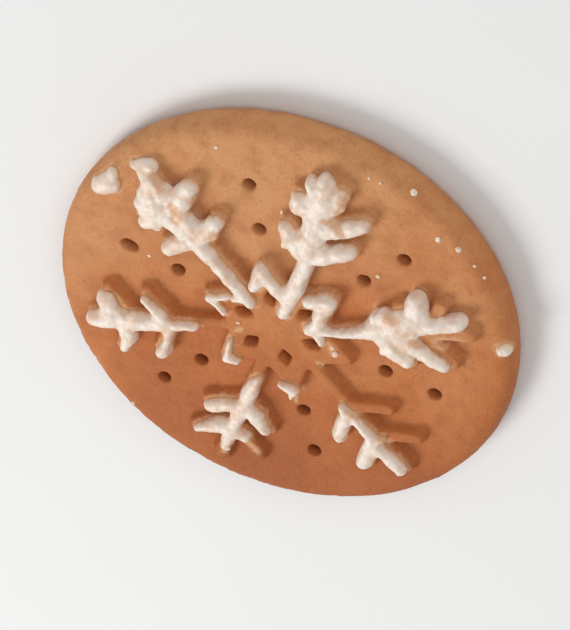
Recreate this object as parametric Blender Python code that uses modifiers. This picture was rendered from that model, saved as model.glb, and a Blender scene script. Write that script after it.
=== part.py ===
"""A round spiced biscuit, pressed with a snowflake and dressed with piped white icing.

The biscuit lies flat, face up, with the middle of its underside at the origin and one arm of
the snowflake along +X. Lengths are in millimetres here and become metres as they are placed.
"""
import bpy
import bmesh
from math import atan2, cos, hypot, pi, radians, sin
from mathutils import Matrix, Vector

MM = 0.001

# The disc of dough.
DIAMETER = 59.4          # across its widest point, halfway up the rounded rim
FACE_HEIGHT = 5.5        # height of the face at the outer ring of holes
DOME = 0.7               # how much higher the middle of the face is than its edge
RIM_ROUND = 2.9          # how far in from the girth the rounding of the rim starts
RIM_SQUARENESS = 2.25    # 2 is a round rim, and more is a squarer one
UNEVEN_RADIUS = 0.14     # how far the outline strays from a true circle
TURNS = 64               # facets round the disc
RIM_STEPS = 9            # facets from the underside over the rim to the face

# The docker holes, which let the steam out: one of each ring between every two arms.
HOLE_RINGS = (20.9, 14.2)
HOLE_WIDTH = 1.9
HOLE_TIP_WIDTH = 1.1
HOLE_DEPTH = 3.2
HOLE_FACETS = 10

# The pressed snowflake: six arms, each with two pairs of branches, round a star with six pits.
ARMS = 6
RELIEF = 1.4             # height of the arms above the face
ARM_HALF_WIDTH = 1.1
ARM_START = 2.6
ARM_END = 24.6
ARM_TIP_HALF_WIDTH = 1.45
BRANCH_PAIRS = (          # where a pair leaves its arm, and its end along and beside the arm
    (13.8, 16.7, 4.2),
    (19.0, 22.0, 4.3),
)
STAR_TIP = 9.4
STAR_NOTCH = 5.3
STAR_HALF_WIDTH = 1.0
PIT_RING = 4.65
PIT_LENGTH = 3.3
PIT_WIDTH = 2.3
PIT_DEPTH = 1.9
SUNK = 0.25              # how far the widest level of a stroke lies below the face
STEEPNESS = 1.25         # how much taller a stroke or squeeze would be if its top weren't flat
RELIEF_END = 27.0        # where icing that has run off an arm's tip lies on the face
RELIEF_SLOPE = 1.2       # over how long a way it comes down

# The icing.
GAP = 0.3                # clearance between the icing and the dough
ICING_THIN = 0.42        # thickness of the icing on a stroke of no width
ICING_SWELL = 0.35       # how much thicker it is for each millimetre of half width
ICING_WAIST = 0.75       # how far up the relief's side the icing is widest
STROKE_FACETS = 8
STROKE_RINGS = 6

# Every row is one squeeze of the icing bag: the direction of the arm that it follows, in
# degrees, and its points, each as (along the arm, to the arm's left, half width).
ICING_ON_RELIEF = {
    "icing_upper_left": (
        (120, (26.6, -1.4, 1.05), (26.7, 0.0, 1.15), (25.2, 0.0, 0.9), (24.0, 0.9, 1.2),
         (21.9, 1.9, 2.1), (19.5, 1.3, 1.4), (17.5, 0.8, 1.3), (15.8, 0.4, 1.4)),
        (120, (27.4, 0.6, 0.6), (26.7, 0.0, 1.0)),
        (120, (25.0, -0.3, 0.9), (22.8, -0.4, 1.3)),
        (120, (20.6, 4.5, 1.0), (20.6, 3.2, 1.6), (22.8, 2.5, 1.6)),
        (120, (20.6, -0.6, 1.3), (21.3, -2.7, 1.45), (21.9, -4.1, 1.2)),
        (120, (19.4, -0.5, 1.1), (17.2, -0.5, 1.1)),
        (120, (16.2, 4.5, 1.1), (16.0, 2.6, 1.2), (15.8, 0.8, 1.3)),
        (120, (15.8, -0.8, 1.3), (16.1, -2.6, 1.25), (16.7, -4.1, 1.1)),
        (120, (15.0, 0.4, 1.1), (11.0, 0.4, 1.0), (7.0, 0.4, 0.9), (4.7, 0.3, 0.65)),
        (120, (6.4, 1.9, 0.5), (6.0, 0.7, 0.7)),
    ),
    "icing_upper_right": (
        (60, (3.1, 0.1, 0.85), (5.4, 0.1, 1.05), (11.0, 0.1, 1.05), (13.5, 0.4, 1.3),
         (18.0, 1.1, 1.5), (20.5, 1.4, 1.9), (22.4, 1.4, 2.2), (24.2, 1.7, 1.4), (25.2, 2.3, 0.8)),
        (60, (21.0, 4.2, 1.1), (20.0, 3.8, 1.2), (20.8, 2.4, 1.6)),
        (60, (24.0, 3.8, 0.6), (23.2, 2.7, 1.1)),
        (60, (22.6, 0.0, 1.5), (24.3, -0.5, 1.2)),
        (60, (16.0, 4.2, 1.05), (14.5, 2.8, 1.2), (13.3, 1.0, 1.2)),
        (60, (18.5, -0.5, 1.3), (20.3, -2.8, 1.15), (21.6, -4.2, 1.0)),
        (60, (14.0, -0.6, 1.2), (15.2, -2.3, 1.15), (16.8, -4.1, 1.0)),
        (60, (5.4, 0.8, 0.9), (6.5, 2.8, 0.95), (7.8, 4.7, 1.0), (4.9, 4.8, 0.8)),
    ),
    "icing_right": (
        (0, (5.1, 4.7, 0.85), (7.8, 4.6, 1.0), (6.5, 3.0, 0.9), (5.6, 1.2, 0.9), (4.4, 0.3, 0.85)),
        (0, (5.1, 0.0, 0.7), (5.6, -1.5, 0.45)),
        (0, (5.2, 0.2, 0.5), (7.5, 0.0, 0.4), (9.6, 0.1, 0.6), (11.0, 0.2, 0.9), (12.5, 0.6, 1.3),
         (14.5, 1.3, 1.7), (16.8, 1.9, 2.2), (18.6, 2.4, 1.8), (20.5, 1.8, 1.3), (22.5, 1.9, 1.2),
         (24.0, 2.2, 1.0)),
        (0, (13.4, 1.8, 0.8), (13.4, 2.9, 0.55)),
        (0, (18.8, 3.5, 1.45), (19.2, 5.3, 1.2)),
        (0, (13.9, -0.5, 1.4), (14.8, -2.3, 1.25), (16.2, -3.8, 1.1)),
        (0, (16.3, 0.2, 1.6), (17.6, -1.5, 1.2), (19.6, -3.5, 1.1), (20.9, -4.5, 0.8)),
    ),
    "icing_left": (
        (180, (11.1, 0.3, 0.5), (13.0, 0.3, 0.7), (15.0, 0.3, 0.9), (17.5, 0.4, 1.2),
         (20.0, 0.1, 1.2), (22.0, -0.1, 1.6), (23.6, 0.3, 1.3), (24.9, 0.3, 1.05)),
        (180, (14.7, 1.2, 0.7), (15.3, 2.8, 0.6), (16.4, 4.8, 1.0)),
        (180, (15.2, -0.6, 0.8), (16.3, -2.3, 0.6), (17.2, -3.6, 0.4)),
        (180, (20.7, 1.0, 1.2), (20.7, 3.0, 1.05), (21.6, 4.5, 0.75)),
        (180, (22.1, -1.2, 1.35), (22.0, -3.1, 1.25)),
    ),
    "icing_lower_left": (
        (240, (9.2, 0.3, 0.4), (10.4, 0.2, 0.8), (12.0, 0.1, 1.0), (15.0, 0.1, 1.0),
         (18.0, 0.0, 0.9), (20.0, 0.0, 1.1), (21.6, 0.0, 0.8), (22.6, 0.0, 0.5)),
        (240, (15.0, 1.2, 1.0), (16.1, 2.9, 0.9), (16.9, 3.8, 0.7)),
        (240, (15.2, -0.8, 1.0), (16.5, -2.8, 0.9), (17.2, -3.8, 0.8)),
        (240, (19.4, -0.8, 1.0), (20.8, -2.8, 0.8), (21.9, -4.0, 0.6)),
        (240, (19.7, 0.9, 0.9), (19.7, 2.0, 0.6)),
    ),
    "icing_lower_right": (
        (300, (13.5, -0.3, 0.5), (14.7, -0.7, 0.9), (15.5, -2.4, 1.0), (16.8, -4.2, 0.95)),
        (300, (14.7, -0.3, 0.8), (17.0, -0.2, 0.75), (18.8, -0.5, 0.9), (20.2, -1.1, 1.2),
         (20.7, -2.8, 1.1), (21.7, -4.2, 1.0)),
        (300, (20.4, -0.9, 1.0), (23.2, -0.6, 1.05), (24.7, -0.6, 0.95)),
        (300, (19.7, -0.3, 0.8), (19.8, 0.6, 0.6)),
    ),
    "icing_star_left": (
        (150, (7.0, -1.5, 0.3), (8.2, -0.6, 0.4), (9.3, 0.1, 0.5), (6.8, 1.4, 0.4)),
    ),
    "icing_star_lower_left": (
        (210, (6.9, -1.5, 0.3), (8.0, -0.6, 0.4), (9.4, 0.4, 0.6), (8.3, 1.5, 0.3)),
    ),
    "icing_star_bottom": (
        (270, (8.5, -1.0, 0.4), (9.5, 0.1, 0.7), (8.9, 0.7, 0.3)),
        (270, (9.6, 0.0, 0.5), (11.6, -0.3, 0.3)),
    ),
}
ICING_ON_FACE = {
    "icing_dab": (
        (134, (28.0, 1.0, 1.1), (27.4, -0.4, 1.45)),
        (134, (27.4, -0.7, 1.0), (28.0, -2.2, 0.6)),
    ),
    "icing_bead": (
        (-5, (28.4, -0.5, 0.9), (28.6, -0.4, 0.9)),
    ),
}

# Colour (linear red, green, blue) and roughness of the two materials.
DOUGH_COLOUR = (0.53, 0.185, 0.066)
DOUGH_ROUGHNESS = 0.68
ICING_COLOUR = (0.85, 0.79, 0.69)
ICING_ROUGHNESS = 0.45


def face_height(distance):
    """Height of the domed face at a distance from the middle."""
    edge = (DIAMETER / 2) ** 2
    return FACE_HEIGHT + DOME * (HOLE_RINGS[0] ** 2 - distance ** 2) / edge


def girth_stray(angle):
    """How far the outline lies outside a true circle, in this direction."""
    return UNEVEN_RADIUS * (0.6 * cos(2 * angle + 0.7) + 0.4 * cos(3 * angle - 1.9))


def turned(angle, along, side=0.0):
    """The point that lies along and beside a line from the middle at this angle."""
    return along * cos(angle) - side * sin(angle), along * sin(angle) + side * cos(angle)


def rim_drop(distance):
    """How far the rounded rim has fallen below the face at a distance from the middle."""
    start = DIAMETER / 2 - RIM_ROUND
    if distance <= start:
        return 0.0
    out = min((distance - start) / RIM_ROUND, 1.0)
    half_height = face_height(start) / 2
    return half_height * (1 - (1 - out ** RIM_SQUARENESS) ** (1 / RIM_SQUARENESS))


def new_object(name, mesh, collection):
    thing = bpy.data.objects.new(name, mesh)
    collection.objects.link(thing)
    return thing


def mesh_from(bm, name):
    bmesh.ops.recalc_face_normals(bm, faces=bm.faces)
    mesh = bpy.data.meshes.new(name)
    bm.to_mesh(mesh)
    bm.free()
    return mesh


def baked(thing):
    """Replace an object's mesh by what its modifiers make of it."""
    evaluated = thing.evaluated_get(bpy.context.evaluated_depsgraph_get())
    mesh = bpy.data.meshes.new_from_object(evaluated)
    thing.modifiers.clear()
    thing.data = mesh


def combine(thing, operation, others):
    """Join a collection's solids to an object or cut them from it, then clear them away."""
    step = thing.modifiers.new(operation.title(), "BOOLEAN")
    step.operation = operation
    step.operand_type = "COLLECTION"
    step.collection = others
    step.solver = "MANIFOLD"
    bpy.context.view_layer.update()
    baked(thing)
    for other in list(others.objects):
        bpy.data.objects.remove(other)


def rim_profile(grow):
    """Half of the disc's section, from the middle of the face down to the middle of the base."""
    middle = DIAMETER / 2 - RIM_ROUND
    half_height = face_height(middle) / 2
    points = [(part * middle, face_height(part * middle) + grow) for part in (0, 0.4, 0.75)]
    for step in range(RIM_STEPS + 1):
        turn = pi * step / RIM_STEPS
        power = 2 / RIM_SQUARENESS
        out = (RIM_ROUND + grow) * sin(turn) ** power if 0 < step < RIM_STEPS else 0.0
        up = abs(cos(turn)) ** power * (1 if turn <= pi / 2 else -1)
        points.append((middle + out, half_height + (half_height + grow) * up))
    points.append((0.0, -grow))
    return points


def disc(name, collection, grow=0.0):
    """The plain disc of dough, turned from its section."""
    mesh = bpy.data.meshes.new(name)
    points = [(out * MM, 0, up * MM) for out, up in rim_profile(grow)]
    mesh.from_pydata(points, [(n, n + 1) for n in range(len(points) - 1)], [])
    dough = new_object(name, mesh, collection)
    turn = dough.modifiers.new("Turn", "SCREW")
    turn.steps = turn.render_steps = TURNS
    turn.use_merge_vertices = True
    turn.merge_threshold = 0.00001
    bpy.context.view_layer.update()
    baked(dough)
    for vertex in dough.data.vertices:
        distance = hypot(vertex.co.x, vertex.co.y)
        share = (distance / (DIAMETER / 2 * MM)) ** 4
        stray = girth_stray(atan2(vertex.co.y, vertex.co.x)) * MM * share
        if distance > 0:
            vertex.co.xy *= (distance + stray) / distance
    return dough


def stroke(name, collection, eggs):
    """The tight skin round flat-topped egg shapes, each given as (place, half width, height)."""
    skin = bmesh.new()
    for place, half_width, height in eggs:
        size = Matrix.Diagonal((half_width, half_width, height * STEEPNESS, 1 / MM)) * MM
        egg = bmesh.new()
        bmesh.ops.create_uvsphere(egg, u_segments=STROKE_FACETS, v_segments=STROKE_RINGS, radius=1,
                                  matrix=Matrix.Translation(Vector(place) * MM) @ size)
        for vertex in egg.verts:
            vertex.co.z = min(vertex.co.z, (place[2] + height) * MM)
            skin.verts.new(vertex.co)
        egg.free()
    bmesh.ops.convex_hull(skin, input=skin.verts)
    bmesh.ops.delete(skin, geom=[v for v in skin.verts if not v.link_faces], context="VERTS")
    return new_object(name, mesh_from(skin, name), collection)


def relief_egg(x, y, half_width, grow):
    """One end of a pressed stroke, sunk in the face, with its flat top RELIEF above it."""
    ground = face_height(hypot(x, y))
    return (x, y, ground - SUNK), half_width + grow, RELIEF + SUNK + grow


def press_snowflake(collection, grow=0.0):
    """The arms, their branches and the star, as separate overlapping strokes."""
    for number in range(ARMS):
        angle = 2 * pi * number / ARMS
        arm = (
            relief_egg(*turned(angle, ARM_START), ARM_HALF_WIDTH, grow),
            relief_egg(*turned(angle, ARM_END), ARM_HALF_WIDTH, grow),
        )
        stroke("arm", collection, arm)
        tip = (
            relief_egg(*turned(angle, ARM_END - 1), ARM_TIP_HALF_WIDTH - 0.2, grow),
            relief_egg(*turned(angle, ARM_END), ARM_TIP_HALF_WIDTH, grow),
        )
        stroke("tip", collection, tip)
        for leaves, along, side in BRANCH_PAIRS:
            for hand in (1, -1):
                branch = (
                    relief_egg(*turned(angle, leaves), ARM_HALF_WIDTH - 0.05, grow),
                    relief_egg(*turned(angle, along, hand * side), ARM_HALF_WIDTH + 0.1, grow),
                )
                stroke("branch", collection, branch)
        between = angle + pi / ARMS
        petal = (
            relief_egg(0, 0, STAR_HALF_WIDTH, grow),
            relief_egg(*turned(between - pi / ARMS, STAR_NOTCH), STAR_HALF_WIDTH, grow),
            relief_egg(*turned(between, STAR_TIP), STAR_HALF_WIDTH, grow),
            relief_egg(*turned(between + pi / ARMS, STAR_NOTCH), STAR_HALF_WIDTH, grow),
        )
        stroke("petal", collection, petal)


def taper(name, collection, place, width, tip_width, depth, facets, stretch=1.0, angle=0.0):
    """A tapered cutter that points down, with its wide end above the surface that it cuts."""
    bm = bmesh.new()
    shape = Matrix.Translation(Vector(place) * MM) @ Matrix.Rotation(angle, 4, "Z")
    shape = shape @ Matrix.Diagonal((stretch, 1, 1, 1))
    bmesh.ops.create_cone(bm, cap_ends=True, segments=facets, radius1=tip_width / 2 * MM,
                          radius2=width / 2 * MM, depth=depth * MM, matrix=shape)
    cutter = new_object(name, mesh_from(bm, name), collection)
    cutter.hide_render = True
    cutter.display_type = "WIRE"


def pierce(collection):
    """Cutters for the docker holes and for the pits of the star."""
    for number in range(ARMS):
        angle = 2 * pi * (number + 0.5) / ARMS
        for ring in HOLE_RINGS:
            x, y = turned(angle, ring)
            middle = face_height(ring) - HOLE_DEPTH / 2 + 0.1
            taper("hole", collection, (x, y, middle), HOLE_WIDTH, HOLE_TIP_WIDTH,
                  HOLE_DEPTH + 0.2, HOLE_FACETS)
        x, y = turned(angle, PIT_RING)
        top = face_height(PIT_RING) + RELIEF
        taper("pit", collection, (x, y, top - PIT_DEPTH / 2 + 0.1), PIT_WIDTH, PIT_WIDTH * 0.4,
              PIT_DEPTH + 0.2, 4, stretch=PIT_LENGTH / PIT_WIDTH, angle=angle)


def icing_egg(angle, point, relief):
    """One point of a squeeze of icing, thick enough to stand above what it covers."""
    along, side, half_width = point
    x, y = turned(radians(angle), along, side)
    distance = hypot(x, y)
    ground = face_height(distance) - rim_drop(distance)
    relief *= min(max((RELIEF_END - distance) / RELIEF_SLOPE, 0.0), 1.0)
    thickness = ICING_THIN + ICING_SWELL * half_width
    middle = relief * ICING_WAIST
    return (x, y, ground + middle), half_width, relief + GAP + thickness - middle


def pipe_icing(name, rows, relief, collection, scraps, clearance):
    """One closed piece of icing: its squeezes joined, with the dough and its gap cut away."""
    first = None
    for angle, *points in rows:
        eggs = [icing_egg(angle, point, relief) for point in points]
        for start, end in zip(eggs, eggs[1:]):
            piece = stroke(name, scraps if first else collection, (start, end))
            first = first or piece
    if scraps.objects:
        combine(first, "UNION", scraps)
    cutter = new_object("dough with gap", clearance.copy(), scraps)
    cutter.hide_render = True
    combine(first, "DIFFERENCE", scraps)
    return first


def finish(thing, colour, roughness):
    """Give an object its own material, and shade it smooth between its sharp edges."""
    material = bpy.data.materials.new(thing.name)
    material.use_nodes = True
    shader = material.node_tree.nodes["Principled BSDF"]
    shader.inputs["Base Color"].default_value = (*colour, 1)
    shader.inputs["Roughness"].default_value = roughness
    shader.inputs["Metallic"].default_value = 0
    thing.data.materials.clear()
    thing.data.materials.append(material)
    thing.data.shade_smooth()
    thing.data.set_sharp_from_angle(angle=radians(40))


def main():
    for thing in list(bpy.data.objects):
        bpy.data.objects.remove(thing)
    parts = bpy.data.collections.new("iced_speculoos_biscuit")
    cutters = bpy.data.collections.new("cutters")
    for collection in (parts, cutters):
        bpy.context.scene.collection.children.link(collection)

    grown = disc("grown dough", cutters, GAP)
    cutters.objects.unlink(grown)
    parts.objects.link(grown)
    press_snowflake(cutters, GAP)
    combine(grown, "UNION", cutters)
    clearance = grown.data
    bpy.data.objects.remove(grown)

    biscuit = disc("biscuit", parts)
    press_snowflake(cutters)
    combine(biscuit, "UNION", cutters)
    pierce(cutters)
    combine(biscuit, "DIFFERENCE", cutters)
    finish(biscuit, DOUGH_COLOUR, DOUGH_ROUGHNESS)

    for plan, relief in ((ICING_ON_RELIEF, RELIEF), (ICING_ON_FACE, 0.0)):
        for name, rows in plan.items():
            icing = pipe_icing(name, rows, relief, parts, cutters, clearance)
            finish(icing, ICING_COLOUR, ICING_ROUGHNESS)


main()
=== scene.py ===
# %% [markdown]
# # A spiced biscuit with an iced snowflake
# The biscuit is about 59 mm across: a disc of dough that was pressed in a mould, pricked, baked and
# iced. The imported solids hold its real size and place. This notebook makes the same biscuit again
# with its looks: edges that the mould left soft, pores, browning, and icing that dried in lumps.
# Lengths are written in millimetres, and MM turns them into Blender's metres.

from math import atan2, cos, hypot, pi, radians, sin
from random import Random

import bpy
import numpy as np
from mathutils import Matrix, Vector
from mathutils.bvhtree import BVHTree


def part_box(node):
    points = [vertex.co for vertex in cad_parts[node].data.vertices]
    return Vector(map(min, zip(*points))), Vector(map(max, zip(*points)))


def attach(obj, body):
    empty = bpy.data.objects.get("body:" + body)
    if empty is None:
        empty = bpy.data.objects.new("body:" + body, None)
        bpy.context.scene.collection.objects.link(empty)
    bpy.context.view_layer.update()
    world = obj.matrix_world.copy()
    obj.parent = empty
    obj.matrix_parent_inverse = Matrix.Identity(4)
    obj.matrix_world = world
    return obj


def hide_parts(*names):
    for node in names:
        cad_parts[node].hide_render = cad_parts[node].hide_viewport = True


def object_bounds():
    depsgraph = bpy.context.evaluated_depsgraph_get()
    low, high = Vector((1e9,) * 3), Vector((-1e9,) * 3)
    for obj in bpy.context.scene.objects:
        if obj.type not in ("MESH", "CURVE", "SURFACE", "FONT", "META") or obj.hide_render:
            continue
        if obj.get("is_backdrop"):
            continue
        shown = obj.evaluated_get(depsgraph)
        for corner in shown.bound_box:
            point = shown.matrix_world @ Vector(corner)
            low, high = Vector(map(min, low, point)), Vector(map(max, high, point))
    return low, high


MM = 0.001
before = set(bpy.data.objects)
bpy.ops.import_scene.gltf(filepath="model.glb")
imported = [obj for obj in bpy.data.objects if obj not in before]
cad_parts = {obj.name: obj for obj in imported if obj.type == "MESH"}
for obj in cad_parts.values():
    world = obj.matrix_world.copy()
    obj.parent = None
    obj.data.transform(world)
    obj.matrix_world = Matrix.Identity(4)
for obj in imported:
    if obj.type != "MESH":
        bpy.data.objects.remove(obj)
cad_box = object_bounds()
low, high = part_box("biscuit")
GIRTH = (high.x - low.x + high.y - low.y) / 4 / MM
print(f"the solid biscuit is {2 * GIRTH:.1f} mm across and {high.z / MM:.1f} mm high")

# %% [markdown]
# ## Hands
# Blender's operators work on what is selected, so a few small helpers do what a hand with a mouse
# does: take a piece, name it, pick some of its points, edges or faces, and put it down again. The
# frame's solids are still selected after loading, so everything is deselected first.


# %% Take, name, pick and put down
def take(piece):
    """Make a piece the only selected object, and the active one."""
    bpy.ops.object.select_all(action="DESELECT")
    piece.select_set(True)
    bpy.context.view_layer.objects.active = piece


def named(name):
    """Name the primitive that was just added, and put its place and size into its mesh."""
    piece = bpy.context.object
    take(piece)
    bpy.ops.object.transform_apply(location=True, rotation=True, scale=True)
    piece.name = piece.data.name = name
    return piece


def pick(piece, kind, test):
    """Go to edit mode with only the points, edges or faces selected that pass a test."""
    take(piece)
    bpy.ops.object.mode_set(mode="EDIT")
    bpy.ops.mesh.select_mode(type=kind)
    bpy.ops.mesh.select_all(action="DESELECT")
    bpy.ops.object.mode_set(mode="OBJECT")
    mesh = piece.data
    for item in {"VERT": mesh.vertices, "EDGE": mesh.edges, "FACE": mesh.polygons}[kind]:
        item.select = bool(test(item))
    bpy.ops.object.mode_set(mode="EDIT")


def put_down():
    """Leave edit mode."""
    bpy.ops.object.mode_set(mode="OBJECT")


# %% [markdown]
# ## The disc of dough
# A hand-rolled disc has a bull-nosed rim, because the dough's edge is pressed down and swells out.
# A cylinder gets it with one bevel of its two rims. The face is slightly domed: it was highest in
# the middle when it rose in the oven. Insetting the top face again and again, and lifting the
# inner part a little each time, makes the dome out of rings.

# %% How high the face lies
HOLE_RINGS = (20.9, 14.2)     # how far the docker holes lie from the middle
FACE_HEIGHT = 5.5        # height of the face at the outer ring of holes
DOME = 0.7               # how much higher the middle is than the edge
RIM_ROUND = 2.62         # how far in from the girth the rounding of the rim starts


def face_height(distance):
    """Height of the domed face at a distance from the middle."""
    return FACE_HEIGHT + DOME * (HOLE_RINGS[0] ** 2 - distance ** 2) / GIRTH ** 2


edge_height = face_height(GIRTH - RIM_ROUND)
print(f"the face is {edge_height:.2f} mm high at its edge, {face_height(0):.2f} mm in the middle")

# %% Add the disc, round its rim and raise its dome
DISC_FACETS = 144
RIM_FACETS = 10
RIM_PROFILE = 0.54       # 0.5 is a quarter circle, and more is fuller
RING = 3.0               # width of the rings that make the dome
LEVEL = 0.1              # an edge that rises less than this lies along one of the two rims
UPWARD = 0.99            # a face looks up if its normal's z is above this
BROAD_FACE = 20.0        # only the disc's whole top and bottom are broader than this square's side


def on_a_rim(edge):
    """Whether an edge lies along the top or the bottom of the plain cylinder."""
    first, second = (dough.data.vertices[n].co for n in edge.vertices)
    return abs(first.z - second.z) < LEVEL * MM


def is_the_top(face):
    """Whether this is the one broad face on top of the disc."""
    return face.normal.z > UPWARD and face.area > (BROAD_FACE * MM) ** 2


bpy.ops.object.select_all(action="DESELECT")
bpy.ops.mesh.primitive_cylinder_add(vertices=DISC_FACETS, radius=GIRTH * MM,
                                    depth=edge_height * MM,
                                    location=(0, 0, edge_height / 2 * MM))
dough = named("dough")
pick(dough, "EDGE", on_a_rim)
bpy.ops.mesh.bevel(offset=RIM_ROUND * MM, segments=RIM_FACETS, profile=RIM_PROFILE)
put_down()
pick(dough, "FACE", is_the_top)
ring = GIRTH - RIM_ROUND
while ring > RING:
    bpy.ops.mesh.inset(thickness=RING * MM)
    lift = face_height(ring - RING) - face_height(ring)
    bpy.ops.transform.translate(value=(0, 0, lift * MM))
    ring -= RING
put_down()
print(f"the plain disc is {dough.dimensions.z / MM:.2f} mm high")

# %% [markdown]
# ## The pressed snowflake
# The mould left six arms with two pairs of branches each, round a star with six points. Every
# stroke starts as a sphere whose top is pressed flat, like the mould's floor. Its far half is then
# pulled away and resized, which makes a rounded bar with two ends of its own. The star's points are
# solid, so each is the convex hull of four such ends. One arm and one point of the star are
# modelled, and copied five times.

# %% A rounded stroke
STEEPNESS = 1.25         # how much taller a ball is before its top is pressed flat
STROKE_FACETS = 20
ON_THE_LINE = 1e-9       # points this near the middle line belong to the far half as well


def ball(end, facets=STROKE_FACETS, under=1.0, steepness=STEEPNESS):
    """A flat-topped ball, given as (x, y, z, half width, height of the top above z)."""
    bpy.ops.object.select_all(action="DESELECT")
    x, y, z, wide, high = (value * MM for value in end)
    bpy.ops.mesh.primitive_uv_sphere_add(segments=facets, ring_count=facets // 2, radius=1,
                                         location=(x, y, z), scale=(wide, wide, high * steepness))
    egg = named("ball")
    for point in egg.data.vertices:
        point.co.z = min(point.co.z, z + high)
        if point.co.z < z:
            point.co.z = z - (z - point.co.z) * under
    return egg


def stroke(start, end, under=1.0, steepness=STEEPNESS):
    """A rounded bar between two ends, with its lower half made shallower by a factor."""
    bar = ball(start, STROKE_FACETS, under, steepness)
    here, there = Vector(start[:3]) * MM, Vector(end[:3]) * MM
    way = Vector((there.x - here.x, there.y - here.y, 0))
    pick(bar, "VERT", lambda point: (point.co - here).dot(way) > -ON_THE_LINE)
    bpy.ops.transform.translate(value=there - here)
    size = (end[3] / start[3], end[3] / start[3], end[4] / start[4])
    bpy.ops.transform.resize(value=size, center_override=there)
    put_down()
    return bar


# %% The ends of a pressed stroke, and copies round the middle
ARMS = 6
RELIEF = 1.4             # height of the arms above the face
SUNK = 0.25              # the widest level of a stroke lies this far below the face


def turned(angle, along, side=0.0):
    """The place that lies along and beside a line from the middle at this angle."""
    return along * cos(angle) - side * sin(angle), along * sin(angle) + side * cos(angle)


def relief_end(x, y, half_width):
    """One end of a pressed stroke, sunk in the face."""
    return x, y, face_height(hypot(x, y)) - SUNK, half_width, RELIEF + SUNK


def round_copies(piece):
    """The piece and its copies, one for each arm of the snowflake."""
    ring = [piece]
    for number in range(1, ARMS):
        copy = piece.copy()
        copy.data = piece.data.copy()
        copy.data.transform(Matrix.Rotation(2 * pi * number / ARMS, 4, "Z"))
        bpy.context.collection.objects.link(copy)
        ring.append(copy)
    return ring


def joined(pieces, name):
    """Join several objects into one."""
    take(pieces[0])
    for piece in pieces:
        piece.select_set(True)
    bpy.ops.object.join()
    whole = bpy.context.object
    whole.name = whole.data.name = name
    return whole


# %% One arm and one point of the star, each copied round
ARM_HALF_WIDTH = 1.1
ARM_START = 2.6          # distances of an arm's two ends from the middle
ARM_END = 24.6
ARM_TIP_HALF_WIDTH = 1.45
STAR_TIP = 9.4           # how far the star's points reach out
STAR_NOTCH = 5.3         # and how far out it is notched between them
STAR_HALF_WIDTH = 1.0
# where a pair of branches leaves its arm, and its end along and beside the arm
BRANCH_PAIRS = ((13.8, 16.7, 4.2), (19.0, 22.0, 4.3))

arm_strokes = [              # the whole arm, and its last millimetre, which broadens to the tip
    stroke(relief_end(ARM_START, 0, ARM_HALF_WIDTH), relief_end(ARM_END, 0, ARM_HALF_WIDTH)),
    stroke(relief_end(ARM_END - 1, 0, ARM_TIP_HALF_WIDTH - 0.2),
           relief_end(ARM_END, 0, ARM_TIP_HALF_WIDTH)),
]
for leaves, along, side in BRANCH_PAIRS:
    for hand in (1, -1):     # a branch starts a little narrower than the arm, and ends wider
        root = relief_end(leaves, 0, ARM_HALF_WIDTH - 0.05)
        arm_strokes.append(stroke(root, relief_end(along, hand * side, ARM_HALF_WIDTH + 0.1)))
arm = joined(arm_strokes, "arm")

corners = ((0, 0), (STAR_TIP, 0), turned(pi / ARMS, STAR_NOTCH), turned(-pi / ARMS, STAR_NOTCH))
star_point = joined([ball(relief_end(x, y, STAR_HALF_WIDTH)) for x, y in corners], "star point")
pick(star_point, "VERT", lambda point: True)
bpy.ops.mesh.convex_hull(use_existing_faces=False)
put_down()
star_point.data.transform(Matrix.Rotation(pi / ARMS, 4, "Z"))
relief = joined(round_copies(arm) + round_copies(star_point), "relief")
print(f"the relief has {len(relief.data.polygons)} faces")

# %% [markdown]
# ## Kneading it together
# The disc and the strokes overlap like lumps of clay. A voxel remesh throws away what lies inside
# and leaves one skin with even faces. The docker holes and the pits of the star are cut out of it
# with tapered pins, and it is remeshed once more, because a cut leaves long thin faces. Smoothing
# then gives every edge and corner the softness of pressed, baked dough.

# %% Pins for the holes and the pits
HOLE_WIDTH = 1.9         # at the mouth
HOLE_TIP_WIDTH = 1.1     # at the bottom
HOLE_DEPTH = 3.2
DRAGGED_HOLE = (20.9, 150, 1.4)      # this one was dragged longer: its ring, direction, stretch
PIN_FACETS = 20
PIT_RING = 4.65          # how far the star's pits lie from the middle
PIT_LENGTH = 3.3
PIT_WIDTH = 2.3
PIT_TIP_SHARE = 0.4      # how wide a pit's bottom is against its mouth
PIT_DEPTH = 1.9
PIT_FACETS = 4
PROUD = 0.2              # how far a pin stands above the mouth that it cuts


def cutter(mouth, depth, width, tip_width, stretch, angle, facets):
    """A tapered pin that points down, with its wide end a little above the mouth that it cuts."""
    x, y, top = mouth
    bpy.ops.object.select_all(action="DESELECT")
    place = Vector((x, y, top - depth / 2 + PROUD / 2)) * MM
    bpy.ops.mesh.primitive_cone_add(vertices=facets, radius1=tip_width / 2 * MM,
                                    radius2=width / 2 * MM, depth=(depth + PROUD) * MM,
                                    location=place, rotation=(0, 0, angle), scale=(stretch, 1, 1))
    return named("cutter")


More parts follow.
